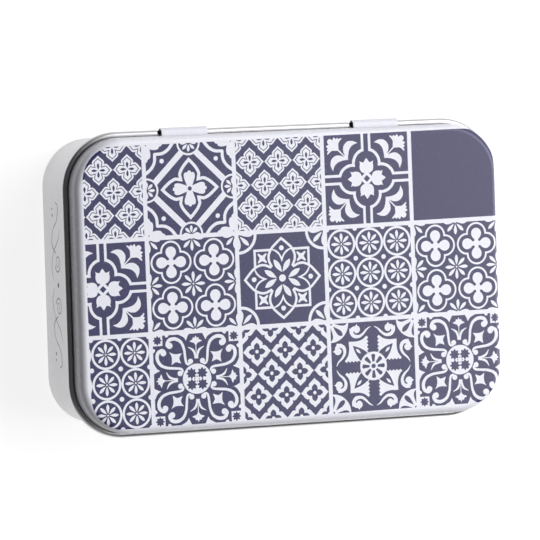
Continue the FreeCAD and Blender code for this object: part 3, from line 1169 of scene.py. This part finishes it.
@dataclass(frozen=True)
class Lid:
    """The drawn lid: printed panel and shoulder, skirt, a plug inside the mouth, and two hinge tabs."""

    tin: Tin
    skirt_setback: float = 0.6
    shoulder_radius: float = 2.2
    plug_clearance: float = 0.30
    seat_clearance: float = 0.15
    plug_depth: float = 3.0
    fold: float = 0.35
    shoulder_steps: int = 10
    tab_steps: int = 28
    # A further ring this many radians inside the panel's edge keeps the shading of the flat even.
    inner_ring: float = 0.06
    print_half: tuple[float, float] = (70.3, 44.6)
    print_corner: float = 11.0
    print_lead: float = 5.0
    tile_pitch: float = 30.0
    print_turn: float = 0.533
    print_shift: tuple[float, float] = (-3.7, 0.08)
    layout: tuple[tuple[Motif, ...], ...] = (
        (Motif.FINE_LATTICE, Motif.ROSETTE_DIAMOND, Motif.FINE_LATTICE, Motif.TULIP_CROSS, Motif.PLAIN),
        (Motif.TULIP_CROSS, Motif.CLOVERS, Motif.STAR, Motif.RINGS, Motif.CLOVERS),
        (Motif.RINGS, Motif.SCROLL_MEDALLION, Motif.BOLD_LATTICE, Motif.PALMETTE_WHEEL,
         Motif.SCROLL_MEDALLION),
    )

    def skirt_inset(self) -> float:
        """How far the skirt's outer face stands inside the bead's outline."""
        return self.tin.bead_radius + self.skirt_setback

    def shoulder_ring(self, columns: tuple[np.ndarray, np.ndarray], bend: float) -> np.ndarray:
        """The unrolled outline at an angle round the shoulder: arc length past the flat panel's edge.

        Args:
            columns: The feet and directions.
            bend: Angle round the shoulder in radians.

        Returns:
            A closed outline in the plane of the panel.
        """
        feet, direction = columns
        flat = self.tin.outline.corner - self.skirt_inset() - self.shoulder_radius
        return feet + direction * (flat + self.shoulder_radius * bend)

    def rolled(self, flat: np.ndarray) -> np.ndarray:
        """Wraps points of the unrolled sheet over the shoulder.

        A point whose distance past the panel's edge is s goes to radius * sin(s / radius) past it, and
        drops by radius * (1 - cos(s / radius)).

        Args:
            flat: Points in the plane of the panel.

        Returns:
            Places in the tin's frame.
        """
        edge = self.tin.outline.corner - self.skirt_inset() - self.shoulder_radius
        feet = np.clip(flat, -self.tin.outline.core(), self.tin.outline.core())
        spoke = flat - feet
        length = np.linalg.norm(spoke, axis=1)
        bend = np.maximum(length - edge, 0.0) / self.shoulder_radius
        reach = np.where(bend > 0, edge + self.shoulder_radius * np.sin(bend), length)
        plan = feet + spoke * (reach / np.maximum(length, 1e-9))[:, None]
        height = self.tin.height - self.shoulder_radius * (1 - np.cos(bend))
        return np.column_stack([plan, height])

    def print_area(self) -> np.ndarray:
        """The printed area's outline, a rounded rectangle that runs on past the tiles to the right.

        Returns:
            A closed outline in the plane of the panel.
        """
        middle = np.array(self.print_half) - self.print_corner
        signs = ((1, 1), (-1, 1), (-1, -1), (1, -1))
        corners = [arc(tuple(middle * sign), self.print_corner, 90.0 * k, 90.0 * (k + 1), 14)
                   for k, sign in enumerate(signs)]
        return self.on_panel(np.vstack(corners) + (self.print_lead, 0.0))

    def on_panel(self, outline: np.ndarray) -> np.ndarray:
        """An outline of the print as it lies on the panel, a little turned and off centre."""
        return turned(outline, 1, self.print_turn)[0] + self.print_shift

    def tiles(self) -> list[tuple[np.ndarray, Drawing]]:
        """Each tile's square and the drawing on it, in the plane of the panel.

        Returns:
            A square and a drawing for each tile, row by row.
        """
        book, made = TileBook(), []
        rows, tiles_wide = len(self.layout), len(self.layout[0])
        for number, motif in enumerate(motif for row in self.layout for motif in row):
            row, column = divmod(number, tiles_wide)
            centre = np.array([column - (tiles_wide - 1) / 2, (rows - 1) / 2 - row]) * self.tile_pitch
            drawing: Drawing = getattr(book, motif.value)()
            square, *outlines = (self.on_panel(outline + centre) for outline in
                                 (block(-book.half, -book.half, book.half, book.half), *drawing.outlines))
            made.append((square, Drawing(outlines, drawing.inks)))
        return made

    def add_panel(self, mesh: SheetMesh, columns: tuple[np.ndarray, np.ndarray], rim: np.ndarray) -> None:
        """Fills the lid's top with triangles cut along the print, and wraps it over the shoulder.

        Args:
            mesh: The mesh to add to.
            columns: The feet and directions of the lid's columns.
            rim: Indices of the skirt's first row, where the shoulder ends.
        """
        bends = np.linspace(np.pi / 2, 0.0, self.shoulder_steps + 1)
        rings = [self.shoulder_ring(columns, bend) for bend in (*bends, -self.inner_ring)]
        limit, tiles = self.print_area(), self.tiles()
        squares = [square for square, _ in tiles]
        lines = [limit, *squares, *(line for _, drawing in tiles for line in drawing.outlines)]
        area = DividedArea.cut(rings[0], [*rings[1:], *lines])
        centres = area.centres()
        printed = within(centres, limit)
        ink = np.zeros(len(centres), int)
        for square, drawing in tiles:
            tile = np.flatnonzero(printed & within(centres, square))
            ink[tile] = Ink.BLUE.value
            for outline, colour in zip(drawing.outlines, drawing.inks):
                ink[tile[within(centres[tile], facing(outline))]] = colour.value
        mesh.add_area(area, self.rolled(area.points), rim, ink)

    def build(self) -> bpy.types.Object:
        """Builds the lid: printed top, skirt, plug and the tabs rolled round the bead.

        Returns:
            The piece.
        """
        tin, hinge = self.tin, self.tin.hinge
        tabs = hinge.tabs(tin.outline)
        stops = [x for a, b in tabs for x in (a - hinge.tab_slit, a, b, b + hinge.tab_slit)]
        columns = tin.outline.columns(stops)
        skirt = self.skirt_inset()
        roll = tin.bead_radius + hinge.running + tin.sheet
        parting = tin.bead_height + roll + 2 * self.fold
        skirt_line = np.array([(skirt, tin.height - self.shoulder_radius), (skirt, parting)])
        plug = 2 * tin.bead_radius + self.plug_clearance
        seat_reach = math.sqrt(2) * (tin.bead_radius + self.seat_clearance)
        seat = tin.bead_height + seat_reach - self.skirt_setback
        plug_line = bent([(skirt, parting), (skirt, seat), (plug, seat - (plug - skirt)),
                          (plug, tin.bead_height - self.plug_depth)], self.fold)
        flange = bent([(skirt, parting), (skirt, tin.bead_height + roll),
                       (tin.bead_radius, tin.bead_height + roll)], self.fold)
        wrap = arc((tin.bead_radius, tin.bead_height), roll, 90.0, 90.0 + hinge.tab_turn, self.tab_steps)
        tab_line = np.vstack([flange[:-1], wrap])
        mesh = SheetMesh()

        def both(line: np.ndarray, part: np.ndarray, skip: int) -> np.ndarray:
            """The two faces of a section carried along some of the columns, from a row on.

            Args:
                line: The section's front.
                part: Numbers of the columns.
                skip: Rows to leave out at its start.

            Returns:
                Indices of the front.
            """
            some = (columns[0][part], columns[1][part])
            back = offset(line, tin.sheet)
            return mesh.add_grid(tin.outline.carry(some, line)[:, skip:],
                                 tin.outline.carry(some, back)[:, skip:])

        everywhere = np.arange(len(columns[0]))
        upper = both(skirt_line, everywhere, 0)
        mesh.add_cells(upper, (0, 2), True)
        first = tin.outline.corner_steps + 1
        # Along the back the stops run from +X: slit, tab, tab, slit for each tab.
        pairs = [(first + 1, first + 2), (first + 5, first + 6)]
        spans = [(first + 3, first + 4), (first + 7, first + len(everywhere))]
        for start, end in spans:
            part = np.arange(start, end + 1) % len(everywhere)
            lower = np.hstack([upper[part, -1:], both(plug_line, part, 1)])
            mesh.add_cells(lower, (2, 2), False)
        for start, end in pairs:
            part = np.array([start, end])
            lower = np.hstack([upper[part, -1:], both(tab_line, part, 1)])
            mesh.add_cells(lower, (0, 2), False)
        self.add_panel(mesh, columns, upper[:, 0])
        inner = arc((skirt + self.shoulder_radius, tin.height - self.shoulder_radius),
                    self.shoulder_radius - tin.sheet, 180.0, 90.0, self.shoulder_steps)
        under = mesh.add_points(tin.outline.carry(columns, inner[1:])).reshape(len(everywhere), -1)
        mesh.add_faces(mesh.quads(np.hstack([upper[:, :1] + 1, under]), True).reshape(-1, 4), 2)
        mesh.add_faces(under[None, ::-1, -1], 2)
        mesh.close_edges(upper[:, 0], 2)
        finishes = [WHITE_ENAMEL.material(), BLUE_INK.material(), TINPLATE.material()]
        return mesh.make("lid_of_printed_tinplate", finishes)


# The stage


@dataclass(frozen=True)
class Lamp:
    """A square soft light that looks at the tin."""

    name: str
    place: tuple[float, float, float]
    size: float
    power: float

    def build(self) -> None:
        """Adds the lamp, aimed at the origin."""
        light = bpy.data.lights.new(self.name, "AREA")
        light.size, light.energy = self.size, self.power
        lamp = bpy.data.objects.new(self.name, light)
        lamp.location = self.place
        lamp.visible_camera = False
        lamp.rotation_euler = (-Vector(self.place)).to_track_quat("-Z", "Y").to_euler()
        bpy.context.scene.collection.objects.link(lamp)


@dataclass(frozen=True)
class Studio:
    """A white floor, soft lamps, and a camera that looks down on the lid with the hinge at the top."""

    floor_half: float = 3.0
    lens: float = 300.0
    target: tuple[float, float, float] = (-0.00785, 0.00281, 0.038)
    distance: float = 1.42365
    lean_left: float = 20.687
    lean_back: float = 3.784
    roll: float = -1.658
    bright_side: tuple[float, float, float] = (0.75, 0.65, -0.1)
    dark: float = 0.07
    bright: float = 0.75
    # Dot products with bright_side between which the room goes from dark to bright.
    room_blend: tuple[float, float] = (0.1, 0.9)
    floor_colour: str = "#989898"
    floor_glow: float = 0.84
    lamps: tuple[Lamp, ...] = (
        Lamp("key_softbox", (1.0, 0.09, 1.17), 1.27, 15.5),
        Lamp("side_softbox", (1.43, 0.0, 0.845), 1.04, 9.8),
        Lamp("back_softbox", (0.91, 1.05, 1.235), 1.09, 10.1),
        Lamp("front_card", (-0.39, -1.3, 0.65), 1.56, 2.4),
    )

    def floor(self) -> None:
        """A floor seen as white: most of its light is its own, and the rest keeps the shadow."""
        half = self.floor_half
        corners = np.column_stack([block(-half, -half, half, half), np.zeros(4)])
        mesh = bpy.data.meshes.new("floor")
        mesh.from_pydata(corners.tolist(), [], [(0, 1, 2, 3)])
        # White paper: its own light is for the camera, gloss and glass, and doesn't light the tin.
        material, tree = new_material("white_paper_floor")
        path = add_node(tree, "ShaderNodeLightPath").outputs
        seen = path["Is Camera Ray"]
        for other in ("Is Glossy Ray", "Is Transmission Ray"):
            either = add_node(tree, "ShaderNodeMath", {0: seen, 1: path[other]}, operation="MAXIMUM")
            seen = either.outputs[0]
        own = add_node(tree, "ShaderNodeMath", {0: seen, 1: self.floor_glow}, operation="MULTIPLY")
        paper = add_node(tree, "ShaderNodeBsdfDiffuse", {"Color": linear(self.floor_colour)})
        glow = add_node(tree, "ShaderNodeEmission", {"Strength": own.outputs[0]})
        both = add_node(tree, "ShaderNodeAddShader", {0: paper.outputs[0], 1: glow.outputs[0]})
        add_node(tree, "ShaderNodeOutputMaterial", {"Surface": both.outputs[0]})
        mesh.materials.append(material)
        floor = bpy.data.objects.new("floor", mesh)
        bpy.context.scene.collection.objects.link(floor)

    def surround(self) -> None:
        """A room that is dark on the tin's left and pale on its right, behind it and above it."""
        world = bpy.data.worlds.new("studio")
        world.use_nodes = True
        tree = world.node_tree
        tree.nodes.clear()
        way = add_node(tree, "ShaderNodeTexCoord").outputs["Generated"]
        side = add_node(tree, "ShaderNodeVectorMath", {0: way, 1: self.bright_side},
                        operation="DOT_PRODUCT")
        first, last = self.room_blend
        level = add_node(tree, "ShaderNodeMapRange", {
            "Value": side.outputs["Value"], "From Min": first, "From Max": last,
            "To Min": self.dark, "To Max": self.bright})
        glow = add_node(tree, "ShaderNodeBackground", {
            "Color": (1.0, 1.0, 1.0, 1.0), "Strength": level.outputs["Result"]})
        add_node(tree, "ShaderNodeOutputWorld", {"Surface": glow.outputs[0]})
        bpy.context.scene.world = world

    def camera(self) -> None:
        """Sets the camera on its line of sight, rolled so that the hinge edge is nearly level."""
        left, back, roll = (math.radians(a) for a in (self.lean_left, self.lean_back, self.roll))
        sight = Vector((-math.sin(left), math.tan(back), math.cos(left))) * math.cos(back)
        up = (Vector((0.0, 1.0, 0.0)) - sight * sight.y).normalized()
        right = up.cross(sight)
        turned_right = right * math.cos(roll) + up * math.sin(roll)
        turned_up = sight.cross(turned_right)
        data = bpy.data.cameras.new("camera")
        data.lens, data.clip_end = self.lens, 20.0
        camera = bpy.data.objects.new("camera", data)
        place = Vector(self.target) + sight * self.distance
        turn = Matrix((turned_right, turned_up, sight)).transposed().to_4x4()
        camera.matrix_world = Matrix.Translation(place) @ turn
        bpy.context.scene.collection.objects.link(camera)
        bpy.context.scene.camera = camera

    def build(self) -> None:
        """Builds the floor, the surround, the lamps and the camera."""
        bpy.context.scene.view_settings.view_transform = "Standard"
        self.floor()
        self.surround()
        for lamp in self.lamps:
            lamp.build()
        self.camera()


def main() -> None:
    """Builds the tin's two pieces round the frame and the studio about them."""
    logging.basicConfig(level=logging.INFO, format="%(message)s")
    tin = Tin.from_frame()
    makers: list[tuple[Callable[[], bpy.types.Object], str, str]] = [
        (Base(tin).build, "base", "tinplate"),
        (Lid(tin).build, "lid", "printed_tinplate"),
    ]
    for build, node, slot in makers:
        piece = build()
        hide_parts(node)
        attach(piece, node)
        LOG.info("%s stands for %s", piece.name, node)
    Studio().build()


if __name__ == "__main__":
    main()
